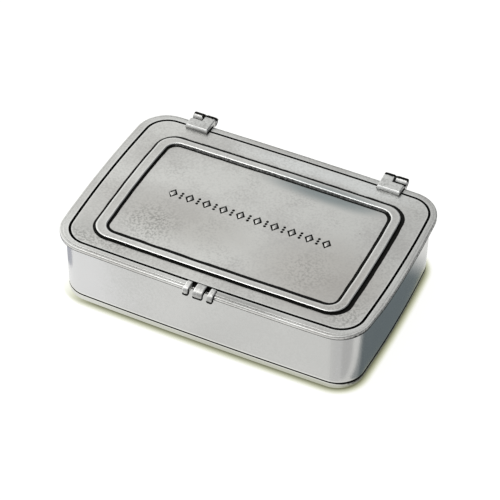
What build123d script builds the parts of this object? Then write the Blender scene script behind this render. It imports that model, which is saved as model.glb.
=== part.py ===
from build123d import *
import os

# Small lidded metal box, cast and soldered, all lengths in mm.
# X runs along the front, Y runs to the hinges at the back, Z is up, z = 0 is the resting face.

# the box as a whole
box_length = 110.0          # over the rim, at the middle of the ends
box_width = 73.6            # over the rim, at the middle of the long sides
box_height = 25.4           # resting face to the top of the rim
rim_corner = 11.2           # plan radius of the rim's corners
end_bow = 1.3               # how far each short side swells out
side_bow = 0.6              # how far each long side swells out
overrun = 2.0               # how far cutting shapes run past what they cut
level_margin = 0.01         # how near a level an edge has to lie to be picked there

# base plate
base_edge = 2.75            # height of the edge that shows below the wall
base_step = 0.9             # raised field that centres the wall
base_round = 1.1            # rounded bottom edge
joint_groove = 0.22         # small bevels that meet in the joint line under the wall

# wall
wall_thickness = 1.6
solder_gap = 0.05           # between pieces that are slipped together and soldered

# rim, cast in one frame
rim_overhang = 1.9          # rim past the outside of the wall
rim_top_width = 2.95        # flat and bead together, as seen from above
rim_edge = 1.55             # height of the overhanging edge
rim_bead_width = 1.0        # rounded bead round the outside
rim_bead_drop = 0.32        # bead below the flat
rim_bead_round = 0.6
rim_under_bevel = 0.2
rim_flat_bevel = 0.12
ledge_reach = 1.95          # ledge inwards from the seam
skirt_depth = 1.2           # part of the rim that goes down inside the wall

# lid
seam_gap = 0.45             # round the lid
lid_thickness = 1.0
lid_seat_gap = 0.1          # between the lid and the ledge
lid_edge_bevel = 0.2
end_band = 6.8              # flat of the lid from its edge to the foot of the raised frame
front_band = 4.7
back_band = 7.5             # wider, to leave room for the hinge leaves
frame_corner = 6.5
frame_end_width = 3.5       # top of the raised frame at the ends, bevels and all
frame_long_width = 2.7      # the same along the front and the back
frame_height = 0.9
frame_side_run = 0.3        # how far each sloping side runs inwards
frame_inner_corner = 4.2
frame_bevel = 0.22
frame_bow_share = 0.5       # the frame's sides swell this much of what the rim's do

# hinges
hinge_from_end = 19.9       # end of the box to the middle of the hinge
hinge_width = 8.2
barrel_radius = 1.6
axis_behind_rim = 1.95      # axis behind the rim's outer edge
axis_height = 0.0           # axis above the top of the rim
pin_radius = 0.6
pin_clearance = 0.05        # in the knuckle that turns
pin_seat_clearance = 0.01   # in the knuckle that holds it
knuckle_gap_front = 0.4
knuckle_gap_back = 1.3
leaf_clearance = 0.12       # lid leaf above the rim
leaf_on_lid = 1.65          # length of the leaf soldered to the lid
leaf_bevel = 0.45
leaf_side_bevel = 0.25      # along the sides of the leaf
leaf_front_narrowing = 0.12 # on each side
knuckle_notch_gap = 1.35    # between the lid leaf and the fixed knuckle
bracket_plate = 1.05        # plate behind the rim's edge
bracket_length = 6.4        # down from the hinge axis
bracket_top_drop = 1.5      # top of the plate below the axis
bracket_bevel = 0.9
web_drop = 0.5              # top of the fixed knuckle's web below the axis
stop_bite = 0.45            # the heel's hold on the bracket, below the plate's top
stop_clearance = 0.03
opening_angle = 105.0       # degrees, where the heel meets the bracket

# front catch
catch_lug_width = 2.1
catch_gap = 1.4
tongue_width = 3.5
catch_rise = 0.5            # above the rim
catch_reach = 1.5           # in front of the rim
catch_drop = 2.4            # below the top of the rim
catch_round = 0.75
catch_toe_round = 0.45
catch_side_bevel = 0.3
tongue_rim_gap = 0.3        # between the tongue and the rim's outer edge

rim_top = box_height
wall_top = rim_top - rim_edge
seat_level = rim_top - lid_thickness - lid_seat_gap
lid_bottom = rim_top - lid_thickness
wall_inset = rim_overhang
wall_inner_inset = rim_overhang + wall_thickness
lid_inset = rim_top_width + seam_gap
ledge_inset = rim_top_width + ledge_reach
back_edge = box_width / 2
axis_y = back_edge + axis_behind_rim
axis_z = rim_top + axis_height
front_edge = -box_width / 2
leaf_bottom = rim_top + leaf_clearance
leaf_top = axis_z + barrel_radius
bracket_back = back_edge + bracket_plate
frame_length = box_length - 2 * (lid_inset + end_band)
frame_width = box_width - 2 * lid_inset - front_band - back_band
frame_forward = (back_band - front_band) / 2
hinge_spacing = box_length - 2 * hinge_from_end


# a plan with swelling sides and round corners, centred on the origin
def bowed_outline(length, width, corner, bow_x, bow_y):
    hx = length / 2
    hy = width / 2
    cx = hx - bow_x
    cy = hy - bow_y
    sides = [
        ThreePointArc((-cx, -cy), (0, -hy), (cx, -cy)),
        ThreePointArc((cx, -cy), (hx, 0), (cx, cy)),
        ThreePointArc((cx, cy), (0, hy), (-cx, cy)),
        ThreePointArc((-cx, cy), (-hx, 0), (-cx, -cy)),
    ]
    face = make_face(sides)
    return fillet(face.vertices(), corner)


# the box's own plan, moved inwards
def plan(inset):
    return bowed_outline(
        box_length - 2 * inset, box_width - 2 * inset, rim_corner - inset, end_bow, side_bow
    )


# the plan raised between two levels
def plan_block(inset, low, high):
    return Pos(0, 0, low) * extrude(plan(inset), high - low)


# the long edges that run round a block at one level
def edges_at(block, level):
    return block.edges().filter_by_position(Axis.Z, level - level_margin, level + level_margin)


def make_base_plate():
    edge = plan_block(wall_inset, 0, base_edge)
    edge = fillet(edges_at(edge, 0), base_round)
    edge = chamfer(edges_at(edge, base_edge), joint_groove)
    step = plan_block(wall_inner_inset + solder_gap, base_edge, base_edge + base_step)
    return edge + step


def make_wall():
    outside = plan_block(wall_inset, base_edge, wall_top)
    outside = chamfer(edges_at(outside, base_edge), joint_groove)
    return outside - plan_block(wall_inner_inset, base_edge - overrun, wall_top + overrun)


# the rim's overhanging edge carries a rounded bead, and the flat stands above it
def make_rim_edge():
    bead_top = rim_top - rim_bead_drop
    bead = plan_block(0, wall_top, bead_top)
    bead = fillet(edges_at(bead, bead_top), rim_bead_round)
    bead = chamfer(edges_at(bead, wall_top), rim_under_bevel)
    flat = plan_block(rim_bead_width, bead_top, rim_top)
    flat = chamfer(edges_at(flat, rim_top), rim_flat_bevel)
    return bead + flat


# the tongue drops through this opening between the two catch lugs
def make_tongue_notch():
    width = tongue_width + 2 * catch_gap
    top = rim_top + overrun
    inside_y = front_edge + lid_inset
    wall_y = front_edge + rim_overhang
    deep = inside_y - front_edge + overrun
    over_wall = Box(width, deep, top - seat_level, align=(Align.CENTER, Align.MAX, Align.MIN))
    deep = wall_y - front_edge + overrun
    outside = Box(width, deep, top - wall_top + overrun, align=(Align.CENTER, Align.MAX, Align.MAX))
    return Pos(0, inside_y, seat_level) * over_wall + Pos(0, wall_y, top) * outside


def make_rim():
    skirt = plan_block(wall_inner_inset + solder_gap, wall_top - skirt_depth, wall_top)
    rim = make_rim_edge() + skirt
    rim -= plan_block(rim_top_width, seat_level, rim_top + overrun)
    rim -= plan_block(ledge_inset, wall_top - skirt_depth - overrun, rim_top + overrun)
    return rim - make_tongue_notch()


# a slab on the raised frame's plan, sloping and then bevelled towards its top
def frame_slab(length, width, corner, side):
    swell_x = end_bow * frame_bow_share
    swell_y = side_bow * frame_bow_share
    steps = [
        (0, 0),
        (side * frame_side_run, frame_height - frame_bevel),
        (side * (frame_side_run + frame_bevel), frame_height),
    ]
    sections = []
    for inset, level in steps:
        outline = bowed_outline(
            length - 2 * inset, width - 2 * inset, corner - inset, swell_x, swell_y
        )
        sections.append(Pos(0, 0, level) * outline)
    return loft(sections, ruled=True)


def make_raised_frame():
    end_foot = frame_end_width + 2 * frame_side_run
    long_foot = frame_long_width + 2 * frame_side_run
    outside = frame_slab(frame_length, frame_width, frame_corner, 1)
    inside = frame_slab(
        frame_length - 2 * end_foot, frame_width - 2 * long_foot, frame_inner_corner, -1
    )
    return Pos(0, -frame_forward, rim_top) * (outside - inside)


def make_lid_plate():
    plate = plan_block(lid_inset, lid_bottom, rim_top)
    plate = chamfer(edges_at(plate, rim_top), lid_edge_bevel)
    return plate + make_raised_frame()


# a side view drawn in Y and Z, made solid across a width centred on x = 0
def across(outline, width):
    return extrude(Plane.YZ * outline, width / 2, both=True)


def side_polygon(points):
    return make_face(Polyline(*points, close=True))


# a plan drawn in X and Y, tall enough to trim any hinge piece
def plan_trim(points):
    face = Pos(0, 0, axis_z - bracket_length) * make_face(Polyline(*points, close=True))
    return extrude(face, 2 * bracket_length)


# everything of the box that a piece soldered outside has to fit round
def box_outside():
    return plan_block(wall_inset, 0, wall_top) + plan_block(0, wall_top, rim_top)


# the lid's knuckle is on the -X half of a hinge drawn at x = 0, the fixed one on the +X half
def lid_knuckle_plan():
    half = hinge_width / 2
    narrow = half - leaf_front_narrowing
    front = back_edge - lid_inset - leaf_on_lid
    notch = axis_y - barrel_radius - knuckle_notch_gap
    behind = axis_y + 2 * barrel_radius
    return plan_trim([
        (-narrow, front), (narrow, front), (half, notch), (-knuckle_gap_front / 2, notch),
        (-knuckle_gap_back / 2, behind), (-half, behind),
    ])


def fixed_knuckle_plan():
    half = hinge_width / 2
    behind = axis_y + 2 * barrel_radius
    return plan_trim([
        (knuckle_gap_front / 2, back_edge), (half, back_edge), (half, behind),
        (knuckle_gap_back / 2, behind),
    ])


# drawn where it meets the bracket and turned back to where it is with the lid shut
def stop_heel():
    face = bracket_back - axis_y + stop_clearance
    tip = -bracket_top_drop - stop_bite
    nose = side_polygon([(face, 0), (face, tip), (face / 3, tip), (0, -barrel_radius), (0, 0)])
    return Pos(axis_y, axis_z) * Rot(0, 0, opening_angle) * nose


def make_lid_leaf():
    lid_edge = back_edge - lid_inset
    front = lid_edge - leaf_on_lid
    side = side_polygon([
        (front, rim_top), (front, leaf_top - leaf_bevel), (front + leaf_bevel, leaf_top),
        (axis_y, leaf_top), (axis_y, leaf_bottom), (lid_edge, leaf_bottom),
        (lid_edge - lid_edge_bevel, rim_top),
    ])
    side += Pos(axis_y, axis_z) * Circle(barrel_radius)
    side += stop_heel()
    leaf = across(side, hinge_width) & lid_knuckle_plan()
    sides = edges_at(leaf, leaf_top).filter_by(lambda e: abs(e.center().X) > hinge_width / 4)
    return chamfer(sides, leaf_side_bevel) - pin_shape(pin_radius + pin_clearance, overrun)


def make_bracket():
    low = axis_z - bracket_length
    wall_y = back_edge - rim_overhang - wall_thickness / 2
    plate_top = axis_z - bracket_top_drop
    plate = side_polygon([
        (wall_y, plate_top), (bracket_back, plate_top), (bracket_back, low + bracket_bevel),
        (bracket_back - bracket_bevel, low), (wall_y, low),
    ])
    web_top = axis_z - web_drop
    knuckle = Pos(axis_y, axis_z) * Circle(barrel_radius)
    knuckle += side_polygon([
        (back_edge - rim_overhang, web_top), (axis_y, web_top), (axis_y, axis_z - barrel_radius),
        (bracket_back, axis_z - 2 * barrel_radius), (back_edge - rim_overhang, plate_top),
    ])
    knuckle = across(knuckle, hinge_width) & fixed_knuckle_plan()
    bracket = across(plate, hinge_width) + knuckle
    bracket = Pos(hinge_spacing / 2, 0, 0) * bracket - box_outside()
    return Pos(-hinge_spacing / 2, 0, 0) * bracket - pin_shape(pin_radius + pin_seat_clearance, overrun)


# a round bar on the hinge axis, past both ends of the hinge by the extra length
def pin_shape(radius, extra):
    bar = Cylinder(radius, hinge_width + 2 * extra, rotation=(0, 90, 0))
    return Pos(0, axis_y, axis_z) * bar


def nearest_corner(outline, y, z):
    return outline.vertices().sort_by_distance((y, z, 0))[0]


# the side view that the lugs and the tongue share in front of the rim
def catch_side(inner_y, start):
    top = rim_top + catch_rise
    toe = rim_top - catch_drop
    nose = front_edge - catch_reach
    outline = side_polygon([*start, (inner_y, toe), (nose, toe), (nose, top)])
    outline = fillet(nearest_corner(outline, nose, top), catch_round)
    return fillet(nearest_corner(outline, nose, toe), catch_toe_round)


# the side edges that a hand meets, all but those against the rim
def soften(shape, inner_y):
    edges = shape.edges().filter_by(Axis.X, reverse=True)
    outer = edges.filter_by(
        lambda e: e.center().Z > rim_top + lid_seat_gap or e.center().Y < inner_y - lid_seat_gap
    )
    return chamfer(outer, catch_side_bevel)


def make_lug():
    seam_y = front_edge + rim_top_width
    top = rim_top + catch_rise
    start = [(seam_y, top), (seam_y, rim_top), (front_edge, rim_top)]
    return soften(across(catch_side(front_edge, start), catch_lug_width), front_edge)


def make_tongue():
    lid_y = front_edge + lid_inset
    top = rim_top + catch_rise
    inner_y = front_edge - tongue_rim_gap
    start = [
        (lid_y - catch_rise, top), (lid_y, rim_top), (lid_y, lid_bottom), (inner_y, lid_bottom)
    ]
    return soften(across(catch_side(inner_y, start), tongue_width), inner_y)


def pair(shape, name, spacing):
    right = Pos(spacing / 2, 0, 0) * shape
    export_step(right, f"parts/right_{name}.step")
    export_step(mirror(right, about=Plane.YZ), f"parts/left_{name}.step")


os.makedirs("parts", exist_ok=True)
export_step(make_base_plate(), "parts/base_plate.step")
export_step(make_wall(), "parts/wall_band.step")
export_step(make_rim(), "parts/top_rim.step")
export_step(make_lid_plate(), "parts/lid_plate.step")
export_step(make_tongue(), "parts/catch_tongue.step")
pair(make_lug(), "catch_lug", tongue_width + 2 * catch_gap + catch_lug_width)
pair(make_lid_leaf(), "lid_leaf", hinge_spacing)
pair(make_bracket(), "hinge_bracket", hinge_spacing)
pair(pin_shape(pin_radius, 0), "hinge_pin", hinge_spacing)
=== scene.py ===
import math

import bmesh
import bpy
from mathutils import Matrix, Vector, noise


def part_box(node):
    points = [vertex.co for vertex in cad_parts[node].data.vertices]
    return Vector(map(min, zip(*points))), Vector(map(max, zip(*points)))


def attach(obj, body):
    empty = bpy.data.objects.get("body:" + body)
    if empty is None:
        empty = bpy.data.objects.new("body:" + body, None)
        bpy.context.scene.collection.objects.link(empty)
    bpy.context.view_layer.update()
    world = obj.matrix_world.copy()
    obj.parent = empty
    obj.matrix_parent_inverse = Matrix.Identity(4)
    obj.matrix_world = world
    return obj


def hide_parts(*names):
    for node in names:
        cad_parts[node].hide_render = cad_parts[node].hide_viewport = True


# Small cast and soldered pewter box, shut, on a white table.
# Blender works in metres; the values in the dictionaries are in mm.

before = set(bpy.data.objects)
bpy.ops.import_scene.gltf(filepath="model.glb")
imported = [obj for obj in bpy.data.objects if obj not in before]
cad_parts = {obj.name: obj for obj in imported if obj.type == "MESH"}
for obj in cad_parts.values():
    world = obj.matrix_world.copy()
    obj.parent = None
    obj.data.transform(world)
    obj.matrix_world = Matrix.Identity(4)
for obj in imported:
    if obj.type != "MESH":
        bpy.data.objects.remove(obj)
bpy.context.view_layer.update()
mm = 0.001
noise.seed_set(1)  # or noise_vector differs from run to run
print("stage: frame loaded")


def nodeSpan(node):
    low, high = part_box(node)
    return low / mm, high / mm


rimLow, rimHigh = nodeSpan("top_rim")
lidLow, lidHigh = nodeSpan("lid_plate")
baseTop = nodeSpan("base_plate")[1].z
leafLow, leafHigh = nodeSpan("right_lid_leaf")
catchFloor = nodeSpan("catch_tongue")[0].z

# plan of the box seen from above, which the rim, lid, wall and base all follow
boxPlan = {
    "length": rimHigh.x - rimLow.x,
    "width": rimHigh.y - rimLow.y,
    "corner": 11.2,
    "endBow": 1.3,  # swell of the short sides
    "sideBow": 0.6,  # swell of the long sides
    "endPoints": 22,  # points along half a short side
    "cornerPoints": 16,
    "sidePoints": 34,  # points along half a long side
}


def between(value, low, high):
    return min(max((value - low) / (high - low), 0.0), 1.0)


def arcPoints(centre, radius, start, stop, count):
    points = []
    for k in range(count):
        angle = start + (stop - start) * k / count
        points.append(centre + radius * Vector((math.cos(angle), math.sin(angle))))
    return points


def circlesMeet(centreA, radiusA, centreB, radiusB):
    across = centreB - centreA
    along = (radiusA ** 2 - radiusB ** 2 + across.length_squared) / (2 * across.length)
    rise = math.sqrt(radiusA ** 2 - along ** 2)
    direction = across.normalized()
    side = Vector((-direction.y, direction.x))
    foot = centreA + direction * along
    return max(foot + side * rise, foot - side * rise, key=lambda p: p.x + p.y)


def planLoop(length, width, corner, endBow, sideBow, centreY=0.0):
    halfX, halfY = length / 2, width / 2
    cornerX, cornerY = halfX - endBow, halfY - sideBow
    endRadius = (endBow ** 2 + cornerY ** 2) / (2 * endBow)
    sideRadius = (sideBow ** 2 + cornerX ** 2) / (2 * sideBow)
    endCentre = Vector((halfX - endRadius, 0))
    sideCentre = Vector((0, halfY - sideRadius))
    turn = circlesMeet(endCentre, endRadius - corner, sideCentre, sideRadius - corner)
    endTurn = math.atan2(turn.y, turn.x - endCentre.x)
    sideTurn = math.atan2(turn.y - sideCentre.y, turn.x)
    quarter = arcPoints(endCentre, endRadius, 0, endTurn, boxPlan["endPoints"])
    quarter += arcPoints(turn, corner, endTurn, sideTurn, boxPlan["cornerPoints"])
    quarter += arcPoints(sideCentre, sideRadius, sideTurn, math.pi / 2, boxPlan["sidePoints"])
    quarter.append(Vector((0, halfY)))
    back = list(reversed(quarter))
    loop = [Vector((p.x, p.y)) for p in quarter[:-1]]
    loop += [Vector((-p.x, p.y)) for p in back[:-1]]
    loop += [Vector((-p.x, -p.y)) for p in quarter[:-1]]
    loop += [Vector((p.x, -p.y)) for p in back[:-1]]
    return [Vector((p.x, p.y + centreY)) for p in loop]


def boxLoop(inset):
    return planLoop(
        boxPlan["length"] - 2 * inset, boxPlan["width"] - 2 * inset,
        boxPlan["corner"] - inset, boxPlan["endBow"], boxPlan["sideBow"],
    )


def outwardAt(points, k):
    run = points[(k + 1) % len(points)] - points[k - 1]
    return Vector((run.y, -run.x)).normalized()


# a hand-finished edge wanders a little; only inwards, so nothing grows past its CAD size
def wander(points, amount, waveLength, seed):
    moved = []
    for k, point in enumerate(points):
        wave = noise.noise(Vector((point.x / waveLength, point.y / waveLength, seed)))
        moved.append(point - outwardAt(points, k) * amount * (0.5 + 0.5 * wave))
    return moved


# profile corners are (place, level, round, patina, polish), and a round becomes a short curve;
# a patina or polish in brackets is (elsewhere, along the right side), or has the back as third;
# the patina is partly painted shade and the polish partly painted highlight, mostly differing by
# side
def softProfile(corners, closed, steps=4, longest=0.48):
    profile = []
    last = len(corners) - 1
    for k, (place, level, cut, patinaAndShade, polishAndHighlight) in enumerate(corners):
        here = Vector((place, level))
        if cut == 0 or (not closed and k in (0, last)):
            profile.append((place, level, patinaAndShade, polishAndHighlight))
            continue
        before = Vector(corners[k - 1][:2]) - here
        after = Vector(corners[(k + 1) % len(corners)][:2]) - here
        start = here + before.normalized() * min(cut, before.length * longest)
        stop = here + after.normalized() * min(cut, after.length * longest)
        for step in range(steps + 1):
            t = step / steps
            p = start * (1 - t) ** 2 + here * 2 * t * (1 - t) + stop * t ** 2
            profile.append((p.x, p.y, patinaAndShade, polishAndHighlight))
    return profile


# where the right side and the back of the box begin, for what differs there
sideZones = {"right": (44.0, 51.0), "back": (29.0, 34.0)}


def towardsRight(point):
    return between(point.x, *sideZones["right"])


def towardsBack(point):
    return between(point.y, *sideZones["back"])


def alongLoop(value, points):
    if not isinstance(value, tuple):
        return value
    elsewhere, right, back = value if len(value) == 3 else (*value, value[0])
    values = []
    for point in points:
        level = elsewhere + (back - elsewhere) * towardsBack(point)
        values.append(level + (right - level) * towardsRight(point))
    return values


# uneven is the amount, wave length and seed of the wander
def ringsFrom(profile, loopAt, uneven):
    rings = []
    for place, level, patinaAndShade, polishAndHighlight in profile:
        points = wander(loopAt(place), *uneven)
        rings.append((points, level, alongLoop(patinaAndShade, points), alongLoop(polishAndHighlight, points)))
    return rings


def addObject(name, data):
    made = bpy.data.objects.new(name, data)
    bpy.context.scene.collection.objects.link(made)
    return made


def finishMesh(name, bm, sharpAngle=38):
    bmesh.ops.recalc_face_normals(bm, faces=bm.faces)
    for face in bm.faces:
        face.smooth = True
    for edge in bm.edges:
        if len(edge.link_faces) == 2 and edge.calc_face_angle() > math.radians(sharpAngle):
            edge.smooth = False
    mesh = bpy.data.meshes.new(name)
    bm.to_mesh(mesh)
    bm.free()
    return addObject(name, mesh)


# joins two rows of corners, each of which runs round and closes
def joinRows(bm, near, far):
    for k in range(len(near)):
        n = (k + 1) % len(near)
        bm.faces.new((near[k], near[n], far[n], far[k]))


# the same along several rows, with both ends filled
def fillRows(bm, rows):
    for near, far in zip(rows, rows[1:]):
        joinRows(bm, near, far)
    bm.faces.new(rows[0])
    bm.faces.new(list(reversed(rows[-1])))


# skins a row of rings; closed joins the last ring to the first, otherwise both ends are filled
def skinRings(name, rings, closed):
    bm = bmesh.new()
    # per corner: a darkening that is patina with painted shade, and a brightening that is polish
    # with painted highlight
    patinaAndShadeLayer = bm.verts.layers.float.new("patinaAndShade")
    polishAndHighlightLayer = bm.verts.layers.float.new("polishAndHighlight")
    rows = []
    for points, level, patinaAndShade, polishAndHighlight in rings:
        row = []
        for k, point in enumerate(points):
            height, dark, bright = (
                value[k] if isinstance(value, list) else value for value in (level, patinaAndShade, polishAndHighlight)
            )
            vert = bm.verts.new((point.x * mm, point.y * mm, height * mm))
            vert[patinaAndShadeLayer] = dark
            vert[polishAndHighlightLayer] = bright
            row.append(vert)
        rows.append(row)
    for lower, upper in zip(rows, rows[1:]):
        joinRows(bm, lower, upper)
    if closed:
        joinRows(bm, rows[-1], rows[0])
    else:
        bm.faces.new(list(reversed(rows[0])))
        bm.faces.new(rows[-1])
    return finishMesh(name, bm)


def evenNormals(piece):
    modifier = piece.modifiers.new("evenNormals", "WEIGHTED_NORMAL")
    modifier.keep_sharp = True
    modifier.weight = 60


def bakeModifiers(piece):
    bpy.context.view_layer.update()
    evaluated = piece.evaluated_get(bpy.context.evaluated_depsgraph_get())
    mesh = bpy.data.meshes.new_from_object(evaluated)
    piece.modifiers.clear()
    piece.data = mesh


def cutAway(piece, cutter):
    modifier = piece.modifiers.new("cut", "BOOLEAN")
    modifier.operation = "DIFFERENCE"
    modifier.solver = "EXACT"
    modifier.object = cutter
    bakeModifiers(piece)
    bpy.data.objects.remove(cutter)


# paintAt gives the patina (partly painted shade) and the polish (partly painted highlight) at a
# place, or nothing where both stay
def paintCorners(piece, paintAt):
    patinaAndShade, polishAndHighlight = (piece.data.attributes[name].data for name in ("patinaAndShade", "polishAndHighlight"))
    for vert in piece.data.vertices:
        paint = paintAt(vert.co / mm)
        if paint:
            patinaAndShade[vert.index].value, polishAndHighlight[vert.index].value = paint


def giveMaterial(piece, material):
    piece.data.materials.clear()
    piece.data.materials.append(material)


def place(piece, material, body, slot, *nodes):
    giveMaterial(piece, material)
    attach(piece, body)
    if nodes:
        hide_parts(*nodes)


# a value is a number, a colour or another node's output
def setSocket(socket, value):
    if isinstance(value, bpy.types.NodeSocket):
        socket.id_data.links.new(value, socket)
    else:
        socket.default_value = value


# values whose names begin with a capital are the node's inputs, the others its settings
def addNode(tree, kind, **values):
    node = tree.nodes.new("ShaderNode" + kind)
    for key, value in values.items():
        if key[0].isupper():
            setSocket(node.inputs[key.replace("_", " ")], value)
        else:
            setattr(node, key, value)
    return node


# gives a node its inputs in their order
def feed(node, *values):
    for socket, value in zip(node.inputs, values):
        setSocket(socket, value)
    return node.outputs


def noiseNode(coords, waveLength, detail=2.0, roughness=0.5):
    node = addNode(coords.id_data, "TexNoise", Vector=coords, Scale=1 / (waveLength * mm),
                   Detail=detail, Roughness=roughness)
    return node.outputs["Fac"]


def mathNode(operation, *values, clamp=False):
    tree = next(value.id_data for value in values if isinstance(value, bpy.types.NodeSocket))
    return feed(addNode(tree, "Math", operation=operation, use_clamp=clamp), *values)[0]


def times(a, b, clamp=False):
    return mathNode("MULTIPLY", a, b, clamp=clamp)


def larger(a, b):
    return mathNode("MAXIMUM", a, b)


def scaled(value, share, more, clamp=False):
    return mathNode("MULTIPLY_ADD", value, share, more, clamp=clamp)


def rampNode(value, low, high, curve="SMOOTHSTEP"):
    node = addNode(value.id_data, "MapRange", interpolation_type=curve, Value=value,
                   From_Min=low, From_Max=high, To_Min=0.0, To_Max=1.0)
    return node.outputs["Result"]


def mixColour(share, a, b, **settings):
    node = addNode(share.id_data, "Mix", data_type="RGBA", **settings)
    for index, value in ((0, share), (6, a), (7, b)):
        setSocket(node.inputs[index], (*value, 1.0) if isinstance(value, tuple) else value)
    return node.outputs[2]


def mixShader(share, a, b):
    return feed(addNode(share.id_data, "MixShader"), share, a, b)[0]


def facingNode(normal, direction):
    node = addNode(normal.id_data, "VectorMath", operation="DOT_PRODUCT")
    return feed(node, normal, Vector(direction).normalized())["Value"]


def lengthNode(vector):
    return feed(addNode(vector.id_data, "VectorMath", operation="LENGTH"), vector)["Value"]


castPewter = {
    "bright": (0.68, 0.68, 0.66),
    "dull": (0.57, 0.56, 0.54),
    "worn": (0.90, 0.90, 0.88),  # rubbed edges, partly a painted highlight
    "patinaAndShade": (0.012, 0.012, 0.011),
    "roughness": 0.32,
    "cloudSize": 22.0,
    "mottleSize": 0.65,
    "grainSize": 0.28,
    "mottleTone": 0.16,  # share by which the fine mottle darkens the metal
    "mottleDepth": 0.008,
    "grainDepth": 0.0015,
    "creviceReach": 0.9,
    "creviceShare": 0.75,
    "stainsAndShading": (),  # (centre, reach, share, colour), and a side where it isn't the top; stains, and patches of painted light and shade
    "leathery": (),  # rougher places, as (centre, reach, share)
    "shadedSides": (),  # directions whose faces get painted shade
    "shadedFrom": (0.42, 0.72),
    "litSide": None,  # direction whose faces get a painted highlight
    "rubbedAndLitFrom": (0.88, 0.97),
    "toneRamp": (0.38, 0.62),
    "cloudShare": 0.7,  # share of the clouds in the tone; the rest is mottle
    "patchSize": 14.0, "patchRamp": (0.46, 0.64),
    "patchLeast": 0.4,  # strength of the mottle between its patches
    "speckle": (0.12, 0.12, 0.11), "speckleRamp": (0.42, 0.66),
    "paintedShade": (0.2, 0.2, 0.19),
    "polishHighlightAndShadeShares": (0.7, -0.6),  # of the rubbed colour, partly a painted highlight, and of the dim colour, a painted shade on the bead
    "patinaAndShadeBreakup": 0.5,
    "patinaAndShadeRamp": (0.28, 0.72),
    "patinaAndShadeMetallic": 0.1, "patinaAndShadeSpecular": 0.02,
    "grainGloss": 0.12, "cloudGloss": 0.08, "polishGloss": -0.10, "patinaAndShadeGloss": 0.25,
    "scratchDepth": 0.002,
}
rimPewter = dict(
    castPewter,
    # a darker patch along the front of the rim, to the right of the catch
    stainsAndShading=(((14, -35), (17, 4), 0.55, (0.30, 0.30, 0.29)),),
)
lidPewter = dict(
    castPewter,
    bright=(0.68, 0.675, 0.65),
    mottleSize=0.8,
    stainsAndShading=(
        # a teal-grey patch inside the back bar; painted shade towards the front right; darker
        # patches towards the front left and at its corner; a lighter band along the back
        ((17, 21.8), (23, 4.6), 0.75, (0.22, 0.27, 0.28)),
        ((32, -14), (26, 20), 0.45, (0.42, 0.385, 0.35)),
        ((-22, -9), (30, 13), 0.5, (0.46, 0.44, 0.41)),
        ((-47, -27), (9, 8), 0.35, (0.42, 0.42, 0.40)),
        ((10, 30.8), (40, 4.5), 0.7, (0.84, 0.85, 0.84)),
    ),
    leathery=(
        ((-29, -15), (13, 10), 2.6),
        ((27, -15), (14, 9), 0.9),
        ((46, -26), (10, 9), 2.2),
        ((-40, -31), (20, 6), 2.2),
    ),
)
sheetPewter = dict(
    castPewter, bright=(0.575, 0.575, 0.565), dull=(0.52, 0.52, 0.51), roughness=0.20,
    mottleTone=0.02, mottleDepth=0.001, grainDepth=0.0005, cloudSize=40.0, creviceShare=0.6,
    # painted light: the front of the wall lighter towards the left
    stainsAndShading=(((-50, -34), (32, 14), 0.7, (0.68, 0.68, 0.69), (0, -1, 0)),),
)
# hinge castings; their strong crevice darkening is partly patina and partly painted shade in the
# gaps between the knuckles
hingePewter = dict(
    castPewter, bright=(0.74, 0.74, 0.72), dull=(0.50, 0.495, 0.48), roughness=0.48,
    mottleTone=0.3, creviceReach=1.4, creviceShare=1.2,
)
# catch castings: painted shade on the sides that face right, away from the light, and a painted
# highlight on the edges that face left
catchPewter = dict(
    hingePewter, worn=(1.0, 1.0, 0.98), roughness=0.44, shadedSides=((1.0, 0.0, -0.15),),
    litSide=(-1.0, 0.0, 0.3), rubbedAndLitFrom=(0.38, 0.62),
)
wirePewter = dict(
    castPewter, bright=(0.45, 0.45, 0.45), dull=(0.36, 0.36, 0.36), roughness=0.45,
)
# dark solder, its darkness partly a painted shadow under the hinge leaves
solderAndShadowPewter = dict(
    castPewter, bright=(0.30, 0.30, 0.29), dull=(0.10, 0.10, 0.095), roughness=0.5,
    mottleSize=0.5, mottleDepth=0.02,
)
# near black, for painted shadows in the hinges
shadowPewter = dict(
    solderAndShadowPewter, bright=(0.04, 0.04, 0.038), dull=(0.015, 0.015, 0.014), roughness=0.7,
)


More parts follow.
